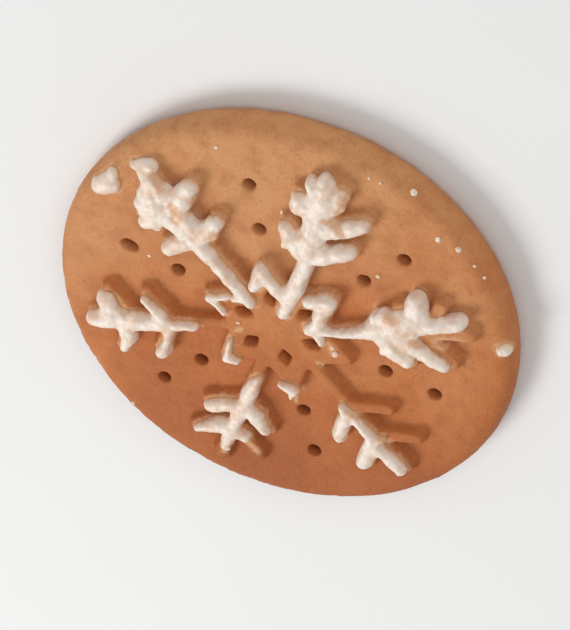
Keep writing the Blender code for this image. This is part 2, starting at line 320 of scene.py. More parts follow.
pins = []
mouths = []              # the middle of every opening, to paint shade inside it later
for number in range(ARMS):
    direction = 360 * (number + 0.5) / ARMS
    angle = radians(direction)
    for ring in HOLE_RINGS:
        mouth = *turned(angle, ring), face_height(ring)
        stretch = DRAGGED_HOLE[2] if (ring, direction) == DRAGGED_HOLE[:2] else 1.0
        pins.append(cutter(mouth, HOLE_DEPTH, HOLE_WIDTH, HOLE_TIP_WIDTH, stretch, angle,
                           PIN_FACETS))
        mouths.append(mouth)
    mouth = *turned(angle, PIT_RING), face_height(PIT_RING) + RELIEF
    stretch = PIT_LENGTH / PIT_WIDTH
    tip_width = PIT_WIDTH * PIT_TIP_SHARE
    pins.append(cutter(mouth, PIT_DEPTH, PIT_WIDTH, tip_width, stretch, angle, PIT_FACETS))
    mouths.append(mouth)
pins = joined(pins, "pins")
print(f"{len(mouths)} holes and pits to cut")

# %% Remesh, cut the holes and smooth
GRAIN = 0.17             # size of the voxels
SOFTENING = 9            # rounds of smoothing


def apply_step(piece, kind, **settings):
    """Add one modifier with its settings, and apply it at once."""
    take(piece)
    step = piece.modifiers.new(kind.title(), kind)
    for key, value in settings.items():
        setattr(step, key, value)
    bpy.ops.object.modifier_apply(modifier=step.name)


dough = joined([dough, relief], "dough")
apply_step(dough, "REMESH", mode="VOXEL", voxel_size=GRAIN * MM)
apply_step(dough, "BOOLEAN", operation="DIFFERENCE", object=pins, solver="MANIFOLD")
bpy.data.objects.remove(pins)
apply_step(dough, "REMESH", mode="VOXEL", voxel_size=GRAIN * MM)
apply_step(dough, "SMOOTH", factor=0.5, iterations=SOFTENING)
print(f"the kneaded dough has {len(dough.data.polygons)} faces")

# %% [markdown]
# ## An uneven bake
# No biscuit is a machined disc. Its outline strays a little from a circle, the face has shallow
# waves, and the crust is finely pitted. Displace modifiers with cloud textures do the waves and the
# pitting, one for each size. At the end the mesh is thinned out where it is flat, which is mostly
# the underside, so that the file stays small.

# %% Stray, waves, pits and a lighter mesh
UNEVEN_RADIUS = 0.14     # how far at most the outline strays from a true circle
MOST_TRIANGLES = 190_000
# the cloud textures that ruffle the dough: name, size of their grains, height
RUFFLES = (("waves", 9.0, 0.28), ("crust", 2.2, 0.15), ("pits", 0.6, 0.14))


def girth_stray(angle):
    """How far the outline lies outside a true circle: it is a little oval and three-sided."""
    return UNEVEN_RADIUS * (0.6 * cos(2 * angle + 0.7) + 0.4 * cos(3 * angle - 1.9))


def ruffle(piece, name, size, height):
    """Push the surface in and out by a cloud texture of this grain size."""
    clouds = bpy.data.textures.new(name, "CLOUDS")
    clouds.noise_scale = size * MM
    clouds.noise_depth = 2
    apply_step(piece, "DISPLACE", texture=clouds, texture_coords="LOCAL",
               strength=height * MM, mid_level=0.5)


def rest_on_the_tray(piece):
    """Flatten what hangs below the tray that the biscuit was baked on."""
    for point in piece.data.vertices:
        point.co.z = max(point.co.z, 0.0)


for point in dough.data.vertices:
    distance = hypot(point.co.x, point.co.y)
    if distance > 0:         # the power leaves the pattern in the middle where it is
        share = (distance / (GIRTH * MM)) ** 4
        stray = girth_stray(atan2(point.co.y, point.co.x)) * MM * share
        point.co.xy *= (distance + stray) / distance
for clouds in RUFFLES:
    ruffle(dough, *clouds)
rest_on_the_tray(dough)
triangles = sum(len(face.vertices) - 2 for face in dough.data.polygons)
apply_step(dough, "DECIMATE", ratio=min(1.0, MOST_TRIANGLES / triangles))
rest_on_the_tray(dough)
dough.data.shade_smooth()
print(f"the dough went from {triangles} to {len(dough.data.polygons)} triangles")

# %% [markdown]
# ## Where the dough is hollow
# Dough browns more where it is thin or stands up. Its creases are darker, partly from browning and
# partly from painted shade, and painted shade darkens the insides of the holes. A paint brush would
# find those places by eye. Here a smoothed copy finds them: where the copy lies outside the real
# surface there is a hollow, and where it lies inside there is a ridge.
# The depth below the nearest opening finds the insides of the holes. Both are kept on the points
# as attributes that the material reads.


# %% Numbers on points
def coordinates(mesh):
    """The places of all points of a mesh, as an array."""
    flat = np.empty(len(mesh.vertices) * 3, np.float32)
    mesh.vertices.foreach_get("co", flat)
    return flat.reshape(-1, 3)


def directions(mesh):
    """The normals of all points of a mesh, as an array."""
    flat = np.empty(len(mesh.vertices) * 3, np.float32)
    mesh.vertex_normals.foreach_get("vector", flat)
    return flat.reshape(-1, 3)


def keep_on_points(piece, name, values):
    """Store one number for each point of a piece."""
    layer = piece.data.attributes.new(name, "FLOAT", "POINT")
    layer.data.foreach_set("value", np.asarray(values, np.float32))


# %% Measure the hollows
CREASE_ROUNDS = 25       # more smoothing finds wider hollows


def hollows(piece, rounds):
    """How far a smoothed copy lies outside each point, in millimetres."""
    copy = piece.copy()
    copy.data = piece.data.copy()
    bpy.context.collection.objects.link(copy)
    apply_step(copy, "SMOOTH", factor=0.5, iterations=rounds)
    gap = coordinates(copy.data) - coordinates(piece.data)
    depth = (gap * directions(piece.data)).sum(axis=1) / MM
    bpy.data.objects.remove(copy)
    return depth


crease = hollows(dough, CREASE_ROUNDS)
keep_on_points(dough, "crease", crease)
print(f"creases up to {crease.max():.2f} mm deep, ridges up to {-crease.min():.2f} mm")

# %% Measure how deep the holes go
MOUTH_REACH = 2.0        # no hole or pit reaches further from its own middle than this
ABOVE_THE_TRAY = 1.0     # below this height lies the underside, which no hole reaches
LIP = 0.15               # the rounded lip of a mouth isn't inside it yet
FACE_RIPPLE = 0.25       # what lies this little below the face is the face itself
STAR_MARGIN = 2.0        # the pits of the star end within this distance of their ring

places = coordinates(dough.data) / MM
burrow = np.zeros(len(places))
for x, y, top in mouths:
    near = np.hypot(places[:, 0] - x, places[:, 1] - y) < MOUTH_REACH
    inside = near & (places[:, 2] > ABOVE_THE_TRAY)
    burrow[inside] = np.maximum(burrow[inside], top - LIP - places[inside, 2])
from_middle = (places[:, :2] ** 2).sum(axis=1)
face_level = FACE_HEIGHT + DOME * (HOLE_RINGS[0] ** 2 - from_middle) / GIRTH ** 2
in_the_star = np.hypot(places[:, 0], places[:, 1]) < PIT_RING + STAR_MARGIN
burrow[~in_the_star & (places[:, 2] > face_level - FACE_RIPPLE)] = 0
keep_on_points(dough, "burrow", burrow)
print(f"{(burrow > 0).sum()} points lie inside the holes and pits")

# %% [markdown]
# ## The icing
# The icing was spread over the relief and dried as it lay: thick and lumpy on some arms, broken off
# or never there on others. Each row below is one squeeze of it. A squeeze could be a curve with a
# round section, but that stays a smooth tube. Short rounded strokes that stray a little to each
# side are nearer to what a hand does, so every squeeze is made of those. Each stretch of icing
# stands for the solid of the same name.

# %% Where every squeeze goes
# Every row follows the arm at an angle, through points of (along it, to its left, half width).
ICING_ON_RELIEF = {
    "icing_upper_left": (
        (120, (26.4, -1.1, 0.95), (26.7, 0.0, 1.1), (25.2, 0.0, 0.9), (24.0, 0.9, 1.2),
         (21.9, 1.9, 2.1), (19.5, 1.3, 1.4), (17.5, 0.8, 1.3), (15.8, 0.4, 1.4)),
        (120, (27.5, 1.2, 0.45), (26.7, 0.0, 1.0)),
        (120, (25.0, -0.3, 0.9), (22.8, -0.4, 1.3)),
        (120, (20.6, 4.5, 1.0), (20.6, 3.2, 1.6), (22.8, 2.5, 1.6)),
        (120, (20.6, -0.6, 1.3), (21.3, -2.7, 1.45), (21.9, -4.1, 1.2)),
        (120, (19.4, -0.5, 1.1), (17.2, -0.5, 1.1)),
        (120, (16.2, 4.5, 1.1), (16.0, 2.6, 1.2), (15.8, 0.8, 1.3)),
        (120, (15.8, -0.8, 1.3), (15.9, -2.5, 1.2), (16.3, -3.9, 1.0)),
        (120, (15.0, 0.4, 1.1), (11.0, 0.4, 1.0), (7.0, 0.4, 0.9), (4.7, 0.3, 0.65)),
        (120, (6.4, 1.9, 0.5), (6.0, 0.7, 0.7)),
    ),
    "icing_upper_right": (
        (60, (3.1, 0.1, 0.85), (5.4, 0.1, 1.05), (11.0, 0.1, 1.05), (13.5, 0.4, 1.3),
         (18.0, 1.1, 1.5), (20.5, 1.4, 1.9), (22.4, 1.4, 2.2), (24.2, 1.7, 1.4), (25.2, 2.3, 0.8)),
        (60, (21.0, 4.2, 1.1), (20.0, 3.8, 1.2), (20.8, 2.4, 1.6)),
        (60, (24.0, 3.8, 0.6), (23.2, 2.7, 1.1)),
        (60, (22.6, 0.0, 1.4), (24.2, -0.3, 1.05)),
        (60, (16.0, 4.2, 1.05), (14.5, 2.8, 1.2), (13.3, 1.0, 1.2)),
        (60, (18.5, -0.5, 1.3), (20.3, -2.8, 1.15), (21.6, -4.2, 1.0)),
        (60, (14.0, -0.6, 1.2), (15.2, -2.3, 1.15), (16.8, -4.1, 1.0)),
        (60, (5.4, 0.8, 0.9), (6.5, 2.8, 0.95), (7.8, 4.7, 1.0), (4.9, 4.8, 0.8)),
    ),
    "icing_right": (
        (0, (5.1, 4.7, 0.85), (7.8, 4.6, 1.0), (6.5, 3.0, 0.9), (5.6, 1.2, 0.9), (4.4, 0.3, 0.85)),
        (0, (5.1, 0.0, 0.7), (5.6, -1.5, 0.45)),
        (0, (5.2, 0.2, 0.5), (7.5, 0.0, 0.4), (9.6, 0.1, 0.6), (11.0, 0.2, 0.9), (12.5, 0.6, 1.3),
         (14.5, 1.3, 1.7), (16.8, 1.9, 2.2), (18.6, 2.4, 1.8), (20.5, 1.8, 1.3), (22.5, 1.9, 1.2),
         (24.0, 2.2, 1.0)),
        (0, (13.4, 1.8, 0.8), (13.4, 2.9, 0.55)),
        (0, (18.8, 3.5, 1.45), (19.2, 5.3, 1.2)),
        (0, (13.9, -0.5, 1.4), (14.8, -2.3, 1.25), (16.2, -3.8, 1.1)),
        (0, (16.3, 0.2, 1.6), (17.6, -1.5, 1.2), (19.6, -3.5, 1.1), (20.9, -4.5, 0.8)),
    ),
    "icing_left": (
        (180, (11.1, 0.3, 0.5), (13.0, 0.3, 0.7), (15.0, 0.3, 0.9), (17.5, 0.4, 1.2),
         (20.0, 0.1, 1.2), (22.0, -0.1, 1.6), (23.6, 0.3, 1.3), (24.9, 0.3, 1.05)),
        (180, (14.7, 1.2, 0.7), (15.3, 2.8, 0.6), (16.4, 4.8, 1.0)),
        (180, (15.2, -0.6, 0.8), (16.3, -2.3, 0.6), (17.2, -3.6, 0.4)),
        (180, (20.7, 1.0, 1.2), (20.7, 3.0, 1.05), (21.6, 4.5, 0.75)),
        (180, (22.4, -1.0, 1.35), (22.5, -2.8, 1.3)),
    ),
    "icing_lower_left": (
        (240, (9.2, 0.3, 0.4), (10.4, 0.2, 0.8), (12.0, 0.1, 1.0), (15.0, 0.1, 1.0),
         (18.0, 0.0, 0.9), (20.0, 0.0, 1.1), (21.6, 0.0, 0.8), (22.6, 0.0, 0.5)),
        (240, (15.0, 1.2, 1.0), (16.1, 2.9, 0.9), (16.9, 3.8, 0.7)),
        (240, (15.2, -0.8, 1.0), (16.5, -2.8, 0.9), (17.2, -3.8, 0.8)),
        (240, (19.4, -0.8, 1.0), (20.8, -2.8, 0.8), (21.9, -4.0, 0.6)),
        (240, (19.7, 0.9, 0.9), (19.7, 2.0, 0.6)),
    ),
    "icing_lower_right": (
        (300, (13.4, -0.6, 0.6), (14.7, -0.8, 0.9), (15.5, -2.4, 1.0), (16.8, -4.2, 0.95)),
        (300, (14.7, -0.4, 0.75), (17.0, -0.4, 0.6), (18.8, -0.5, 0.85), (20.2, -1.1, 1.2),
         (20.7, -2.8, 1.1), (21.7, -4.2, 1.0)),
        (300, (20.4, -0.9, 1.0), (23.2, -0.6, 1.05), (24.7, -0.6, 0.95)),
        (300, (19.7, -0.3, 0.8), (19.8, 0.6, 0.6)),
    ),
    "icing_star_left": (
        (150, (7.0, -1.5, 0.3), (8.2, -0.6, 0.4), (9.3, 0.1, 0.5), (6.8, 1.4, 0.4)),
    ),
    "icing_star_lower_left": (
        (210, (6.9, -1.5, 0.3), (8.0, -0.6, 0.4), (9.4, 0.4, 0.6), (8.3, 1.5, 0.3)),
    ),
    "icing_star_bottom": (
        (270, (8.6, -1.5, 0.3), (9.0, -0.8, 0.45), (9.5, -0.1, 0.75), (9.8, 0.3, 0.6)),
        (270, (9.7, -0.1, 0.5), (10.7, -0.3, 0.3)),
    ),
}
ICING_ON_FACE = {
    "icing_dab": (
        (134, (28.0, 1.0, 1.1), (27.4, -0.4, 1.45)),
        (134, (27.4, -0.7, 1.0), (28.0, -2.2, 0.6)),
    ),
    "icing_bead": (
        (-5, (28.4, -0.5, 0.9), (28.6, -0.4, 0.9)),
    ),
}
for plan, ground in ((ICING_ON_RELIEF, "the relief"), (ICING_ON_FACE, "the bare face")):
    print(f"{sum(map(len, plan.values()))} squeezes in {len(plan)} stretches on {ground}")

# %% The end of a stroke of icing
ICING_THIN = 0.42        # thickness over a stroke of no width
ICING_SWELL = 0.35       # how much thicker it is for each millimetre of half width
ICING_WAIST = 0.75       # how far up the relief's side the icing is widest
ICING_SEAT = 0.3         # how high the icing's own solids lie above the dough
RELIEF_END = 27.0        # where icing that has run off an arm's tip lies on the face
RELIEF_SLOPE = 1.2       # over how long a way it comes down
PLUMP = 0.08             # what smoothing takes off again
RIM_SQUARENESS = 2.25    # 2 is a round rim, and more is a squarer one


def rim_drop(distance):
    """How far the rounded rim has fallen below the face at a distance from the middle."""
    out = min(max((distance - GIRTH + RIM_ROUND) / RIM_ROUND, 0.0), 1.0)
    # the girth itself lies at half the height of the edge
    return edge_height / 2 * (1 - (1 - out ** RIM_SQUARENESS) ** (1 / RIM_SQUARENESS))


def icing_end(angle, along, side, half_width, relief_height):
    """One end of a stroke of icing, from inside the dough to the icing's own top."""
    x, y = turned(radians(angle), along, side)
    distance = hypot(x, y)
    ground = face_height(distance) - rim_drop(distance)
    relief_height *= min(max((RELIEF_END - distance) / RELIEF_SLOPE, 0.0), 1.0)
    top = relief_height + ICING_SEAT + ICING_THIN + ICING_SWELL * half_width
    middle = relief_height * ICING_WAIST
    return x, y, ground + middle, half_width + PLUMP, top - middle


# %% [markdown]
# ### What the icing rests on
# A stroke that lies along one of the pressed bars rests on it, so its underside is shallow and the
# bar's flanks stay bare. One that lies beside the bars has nothing to rest on but the face, so its
# underside comes all the way down. The distance to the nearest bar's middle line decides it.

# %% Undersides
OVER_THE_BAR = 1.55      # a stroke with less half width than this can stay on top of its bar
CAP = 0.5                # how deep its underside is there, against a whole one
BAR_REACH = (0.55, 1.1)  # it stays up within the first distance from a bar's middle, not the last

BAR_LINES = [((ARM_START, 0), (ARM_END, 0))]
BAR_LINES += [((leaves, 0), (along, hand * side)) for leaves, along, side in BRANCH_PAIRS
              for hand in (1, -1)]


def off_the_bars(x, y):
    """Distance from a place to the middle line of the nearest pressed stroke, in millimetres."""
    nearest = hypot(x, y)    # to the middle of the star
    for number in range(ARMS):
        along, side = turned(-2 * pi * number / ARMS, x, y)
        for (a, b), (c, d) in BAR_LINES:
            share = ((along - a) * (c - a) + (side - b) * (d - b)) / ((c - a) ** 2 + (d - b) ** 2)
            share = min(max(share, 0.0), 1.0)
            nearest = min(nearest, hypot(along - a - share * (c - a), side - b - share * (d - b)))
    return nearest


def underside(start, end, relief_height):
    """How shallow a stroke's underside is: it rests on a bar, or else comes down to the face."""
    if relief_height == 0 or max(start[3], end[3]) > OVER_THE_BAR:
        return 1.0
    off = off_the_bars((start[0] + end[0]) / 2, (start[1] + end[1]) / 2)
    near, far = BAR_REACH
    return CAP + (1 - CAP) * min(max((off - near) / (far - near), 0.0), 1.0)


# %% [markdown]
# ### Kneading each stretch
# The strokes of a stretch, with dabs of random sizes on the broad ones, become one skin in a voxel
# remesh, like the dough. Wet icing pulls together where two squeezes nearly touch. Swelling the
# skin, remeshing it and shrinking it again by as much closes such gaps, and leaves the rest where
# it was. Cloud textures then ruffle it into lumps. The chances are drawn from the stretch's own
# name, so it comes out the same on every run.

# %% Short strokes and dabs
STEP = 1.1               # length of the short strokes that a squeeze is made of
STRAY = 0.14             # how far each of them strays to a side
WIDTHS = (0.85, 1.2)     # how much narrower or wider each may be
HEIGHTS = (0.93, 1.08)   # how much lower or higher each may be
DAB_EVERY = 1.0          # millimetres of squeeze for each dab
BROAD = 1.2              # strokes with more half width than this get dabs
DAB_SIZES = (0.4, 0.65)  # radius of a dab against the half width of its stroke
DAB_SIDEWAYS = 0.7       # how far from the stroke's middle it may lie, against the half width
DAB_LIFTS = (0.4, 1.1)   # how high it may lie, and at 1 it comes about as high as its stroke
DAB_FACETS = 12
DAB_FLATNESS = 0.9       # how high its flat top lies above its middle, against its radius


def uneven(start, end, chance):
    """Split a stroke in short ones that stray a little, because no hand squeezes evenly."""
    steps = max(1, round(hypot(end[0] - start[0], end[1] - start[1]) / STEP))
    beads = [start]
    for number in range(1, steps):
        x, y, z, wide, high = (a + (b - a) * number / steps for a, b in zip(start, end))
        x += chance.uniform(-1, 1) * STRAY
        y += chance.uniform(-1, 1) * STRAY
        beads.append((x, y, z, wide * chance.uniform(*WIDTHS), high * chance.uniform(*HEIGHTS)))
    return [*beads, end]


def dabs(start, end, chance):
    """Small random balls that make a broad stroke lumpy."""
    length = hypot(end[0] - start[0], end[1] - start[1])
    balls = []
    for _ in range(round(length / DAB_EVERY)):
        share = chance.random()
        x, y, z, wide, high = (a + (b - a) * share for a, b in zip(start, end))
        size = wide * chance.uniform(*DAB_SIZES)
        if wide > BROAD:
            x += chance.uniform(-1, 1) * wide * DAB_SIDEWAYS
            y += chance.uniform(-1, 1) * wide * DAB_SIDEWAYS
            z += (high - size) * chance.uniform(*DAB_LIFTS)
            balls.append(ball((x, y, z, size, size * DAB_FLATNESS), DAB_FACETS))
    return balls


# %% Knead every stretch of icing
ICING_STEEPNESS = 1.08   # the icing's top is rounder than the pressed strokes'
ICING_GRAIN = 0.13       # size of the voxels
PULL = 0.22              # wet icing pulls together in gaps that are narrower than twice this
ICING_SOFTENING = 5      # rounds of smoothing
# the cloud textures that ruffle the icing: name, size of their grains, height
ICING_RUFFLES = (("lumps", 2.0, 0.45), ("ripples", 0.7, 0.07))


def piped(name, rows, relief_height):
    """One stretch of icing: its strokes and dabs kneaded into one skin."""
    chance = Random(name)
    strokes = []
    for angle, *points in rows:
        ends = [icing_end(angle, *point, relief_height) for point in points]
        for start, end in zip(ends, ends[1:]):
            beads = uneven(start, end, chance)
            for pair in zip(beads, beads[1:]):
                under = underside(*pair, relief_height)
                strokes.append(stroke(*pair, under=under, steepness=ICING_STEEPNESS))
            strokes += dabs(start, end, chance)
    icing = joined(strokes, name + "_looks")
    for swell in (PULL, -PULL):
        apply_step(icing, "REMESH", mode="VOXEL", voxel_size=ICING_GRAIN * MM)
        apply_step(icing, "DISPLACE", strength=swell * MM, mid_level=0.0)
    apply_step(icing, "REMESH", mode="VOXEL", voxel_size=ICING_GRAIN * MM)
    apply_step(icing, "SMOOTH", factor=0.5, iterations=ICING_SOFTENING)
    for clouds in ICING_RUFFLES:
        ruffle(icing, *clouds)
    icing.data.shade_smooth()
    return icing


icings = {}
for plan, relief_height in ((ICING_ON_RELIEF, RELIEF), (ICING_ON_FACE, 0.0)):
    for name, rows in plan.items():
        icings[name] = piped(name, rows, relief_height)
        print(f"{name}: {len(icings[name].data.polygons)} faces")

# %% [markdown]
# ## Where the icing is thin
# Icing that dried thin lets the brown dough show through and has a yellow edge. The distance from
# each point of the icing to the dough below it says how thick it is there. A search tree of the
# dough's faces finds the nearest place quickly. The icing was also scraped thin here and there on
# its top. Short wipes mark those places, read off the real biscuit.

# %% Measure the icing's thickness
def search_tree(piece):
    """A tree of a piece's faces, to look up the nearest place on it."""
    return BVHTree.FromPolygons([point.co for point in piece.data.vertices],
                                [tuple(face.vertices) for face in piece.data.polygons])


def thickness(piece):
    """How far each point of the icing stands off the dough, in millimetres, 0 inside it."""
    depths = []
    for point in piece.data.vertices:
        place, normal, _, distance = body.find_nearest(point.co)
        outside = (point.co - place).dot(normal) > 0
        depths.append(distance / MM if outside else 0.0)
    return depths


body = search_tree(dough)
for name, icing in icings.items():
    depths = thickness(icing)
    keep_on_points(icing, "thick", depths)
    print(f"{name} stands up to {max(depths):.1f} mm off the dough")

# %% Mark where the icing was scraped thin
# Every wipe is an arm's angle and two points of (along it, to its left, reach of the wipe).
SCRAPED = (
    (60, (24.3, -0.9, 1.2), (22.7, -1.0, 1.1)), (60, (20.4, 0.3, 0.8), (20.4, -1.3, 1.0)),
    (60, (20.4, -1.3, 1.0), (19.7, -2.4, 0.8)), (120, (21.1, -1.0, 1.1), (19.4, -0.2, 1.0)),
    (120, (20.6, -4.2, 1.0), (18.7, -2.8, 1.0)), (120, (23.7, -1.1, 0.7), (25.7, -1.2, 0.7)),
    (120, (15.3, -2.9, 0.9), (13.6, -1.6, 0.8)), (0, (15.3, 3.2, 0.9), (16.4, 3.0, 0.9)),
    (0, (17.8, -0.4, 0.9), (18.8, -1.0, 0.8)), (0, (21.2, 0.9, 0.8), (23.5, 0.7, 0.7)),
    (300, (14.1, 0.2, 0.7), (15.5, 0.3, 0.6)), (300, (19.8, 0.7, 0.8), (20.2, 0.3, 0.7)),
)


def in_wipes(spots, wipes):
    """How deep each place lies in the nearest wipe: 1 on its middle line, 0 outside it."""
    depth = np.zeros(len(spots))
    for angle, start, end in wipes:
        here, there = (np.array(turned(radians(angle), *end[:2])) for end in (start, end))
        way = there - here
        share = np.clip((spots[:, :2] - here) @ way / (way @ way), 0, 1)
        gap = np.hypot(*(spots[:, :2] - here - share[:, None] * way).T)
        reach = start[2] + (end[2] - start[2]) * share
        depth = np.maximum(depth, 1 - gap / reach)
    return depth


for icing in icings.values():
    keep_on_points(icing, "scraped", in_wipes(coordinates(icing.data) / MM, SCRAPED))
print(f"{len(SCRAPED)} places were scraped thin")

# %% [markdown]
# ## A film of icing on the dough
# Where wet icing was wiped off or broke away, it leaves a thin yellowish film, and a little of it
# creeps out round every edge. A film has no thickness to model, so it is a stain in the dough's
# colour. The nearest icing, and a few short wipes read off the real biscuit, say where it lies.

# %% Measure the film
CREEP = 0.6              # how far the film creeps out round the icing
WIPE_STRENGTH = 1.2      # how much whiter a wipe is than the film beside the icing
NEAR_THE_FACE = 0.1      # a wipe reaches what lies no further below the face than this
# Every wipe is an arm's angle and two points of (along it, to its left, reach of the film).
WIPES = (
    (0, (20.6, -0.7, 1.1), (23.6, -0.7, 1.0)), (0, (17.8, -1.5, 0.8), (21.4, -1.9, 0.7)),
    (0, (5.8, -0.2, 0.8), (10.0, -0.4, 0.9)), (60, (12.8, -0.6, 0.9), (16.6, -0.6, 0.9)),
    (60, (23.3, -0.6, 1.0), (24.8, -0.4, 0.8)), (120, (17.0, -1.4, 0.9), (20.0, -1.2, 0.9)),
    (180, (5.1, 0.5, 0.7), (5.8, 0.7, 0.5)),
    (180, (20.5, -1.5, 0.8), (21.3, -3.4, 0.8)), (180, (14.6, 1.9, 0.8), (15.4, 3.0, 0.8)),
    (240, (23.1, 0.0, 1.0), (24.0, 0.1, 0.8)), (240, (20.4, 2.4, 0.8), (21.4, 4.2, 0.7)),
    (300, (12.9, -0.9, 0.9), (14.4, -1.0, 0.8)), (300, (19.9, 0.2, 0.9), (21.0, 1.4, 0.7)),
    (270, (10.7, -0.6, 0.7), (12.6, -0.7, 0.6)), (330, (7.6, 0.4, 0.9), (6.8, 1.2, 0.7)),
    (330, (6.8, -2.7, 0.7), (6.3, -2.3, 0.6)),
)

coats = [search_tree(icing) for icing in icings.values()]
film = np.zeros(len(places))
for number, point in enumerate(dough.data.vertices):
    for coat in coats:
        _, _, _, distance = coat.find_nearest(point.co, CREEP * MM)
        if distance is not None:
            film[number] = max(film[number], 1 - distance / (CREEP * MM))
on_top = places[:, 2] > face_level - NEAR_THE_FACE
film = np.where(on_top, np.maximum(film, WIPE_STRENGTH * in_wipes(places, WIPES)), film)
keep_on_points(dough, "film", film)
print(f"{(film > 0).sum()} points of the dough carry a film of icing")

# %% [markdown]
# ## Specks
# When icing is spread fast, tiny drops fly off and dry on the face and the rim. They are far too
# small to be solids, so they exist only here, as one mesh of flattened little spheres.

# %% Drops of icing on the face and the rim
# Every drop is (distance from the middle, direction in degrees, radius).
DROPS = (
    (26.5, 97, 0.34), (29.0, 44, 0.50), (26.9, 31, 0.44), (28.2, 26, 0.44), (16.3, 29, 0.34),
    (17.6, 78, 0.36), (27.6, 55, 0.23), (27.8, 52, 0.23), (28.2, -147, 0.29), (28.6, -163, 0.29),
    (18.2, 150, 0.29), (28.6, 20, 0.24), (28.9, 16, 0.26), (7.7, 333, 0.50), (7.2, 339, 0.36),
    (7.3, 308, 0.36), (5.2, 174, 0.32), (23.2, 241, 0.42),
)
DROP_SHAPE = (1, 0.85, 0.6)     # length, width and height against its radius
DROP_WHITENESS = 3       # a drop is domed, so light finds more icing in it than its height says
OVERHEAD = 20.0          # a height that is above everything

drops = []
for distance, direction, radius in DROPS:
    x, y = turned(radians(direction), distance)
    above = Vector((x * MM, y * MM, OVERHEAD * MM))
    place, normal, _, _ = body.ray_cast(above, Vector((0, 0, -1)))
    bpy.ops.object.select_all(action="DESELECT")
    bpy.ops.mesh.primitive_ico_sphere_add(subdivisions=3, radius=radius * MM, location=place,
                                          rotation=normal.to_track_quat("Z", "Y").to_euler(),
                                          scale=DROP_SHAPE)
    drops.append(named("drop"))
drops = joined(drops, "icing_drops")
ruffle(drops, "drop lumps", 0.5, 0.12)
drops.data.shade_smooth()
keep_on_points(drops, "thick", [DROP_WHITENESS * depth for depth in thickness(drops)])
print(f"{len(DROPS)} drops of icing")

# %% [markdown]
# ## Materials
# Dough and icing are made of noise at several sizes, read from Object coordinates, so that no
# pattern needs an image or an unwrapped surface. A short helper adds a node, sets what is constant
# and links what is not. Others build on it.


# %% Add a node, start a material
def add(tree, kind, inputs=(), **settings):
    """Add a node. Inputs are numbers, colours, or sockets to link from."""
    node = tree.nodes.new(kind)
    for key, value in settings.items():
        setattr(node, key, value)
    for key, value in dict(inputs).items():
        if isinstance(value, bpy.types.NodeSocket):
            tree.links.new(value, node.inputs[key])
        else:
            node.inputs[key].default_value = value
    return node


def fresh_material(name, roughness, specular):
    """A new material, its tree, its shader and its coordinates."""
    material = bpy.data.materials.new(name)
    material.use_nodes = True
    tree = material.node_tree
    shader = tree.nodes["Principled BSDF"]
    shader.inputs["Roughness"].default_value = roughness
    shader.inputs["Specular IOR Level"].default_value = specular
    place = add(tree, "ShaderNodeTexCoord").outputs["Object"]
    return material, tree, shader, place


# %% Noise and ranges, sums and mixtures
def noise(tree, place, size, detail=3.0, roughness=0.55):
    """Soft noise from 0 to 1, with grains of this size in millimetres."""
    inputs = {"Vector": place, "Scale": 1 / (size * MM), "Detail": detail, "Roughness": roughness}
    return add(tree, "ShaderNodeTexNoise", inputs).outputs["Fac"]


def between(tree, value, low, high, to_low=0.0, to_high=1.0):
    """Spread what lies between low and high over a new range, and hold what lies outside it."""
    inputs = {"Value": value, "From Min": low, "From Max": high,
              "To Min": to_low, "To Max": to_high}
    return add(tree, "ShaderNodeMapRange", inputs).outputs["Result"]


def total(tree, first, second):
    """The sum of two numbers."""
    return add(tree, "ShaderNodeMath", {0: first, 1: second}).outputs[0]


# where the mix node keeps its share, its first and second colour, and its result
SHARE, FIRST, SECOND, RESULT = 0, 6, 7, 2


def mixed(tree, share, first, second):
    """Mix two colours by a share from 0 to 1."""
    node = add(tree, "ShaderNodeMix", data_type="RGBA")
    for number, value in ((SHARE, share), (FIRST, first), (SECOND, second)):
        socket = node.inputs[number]
        if isinstance(value, bpy.types.NodeSocket):
            tree.links.new(value, socket)
        elif isinstance(value, tuple):
            socket.default_value = (*value, 1)
        else:
            socket.default_value = value
    return node.outputs[RESULT]


# %% Numbers from the points, and bumps
def attribute(tree, name):
    """A number kept on the points of the piece."""
    return add(tree, "ShaderNodeAttribute", attribute_name=name).outputs["Fac"]


def bumps(tree, shader, *layers):
    """Stack bump layers, each (height socket, strength, height in millimetres)."""
    normal = None
    for height, strength, reach in layers:
        inputs = {"Height": height, "Strength": strength, "Distance": reach * MM}
        if normal:
            inputs["Normal"] = normal
        normal = add(tree, "ShaderNodeBump", inputs).outputs["Normal"]
    tree.links.new(normal, shader.inputs["Normal"])


# %% [markdown]
# ### Baked dough
# Spiced dough bakes to an orange brown. Across the biscuit its colour is painted paler towards +y,
# as painted light, and deeper towards -y, as painted shade. It is dark brown in the creases beside
# the relief, partly browned and partly painted shade, and painted shade darkens its tiny open pores
# and the insides of the holes. It carries a fine grain of darker spice. A painted image could show
# all that, but noise keeps its scale on every side of the biscuit. The layers are mixed in this
# order: the painted light and shade across it first, then ridges and creases, spice and pores, then
# the film of icing, and the painted shade inside the holes over it all. Colours are linear.

# %% Browning, and painted light and shade
DOUGH = (0.545, 0.178, 0.051)
DOUGH_PALE = (0.65, 0.312, 0.13)
DOUGH_DEEP = (0.36, 0.096, 0.029)
# dark brown for painted shade in pores and holes, and for browning and painted shade in creases
DOUGH_SHADE = (0.20, 0.054, 0.018)

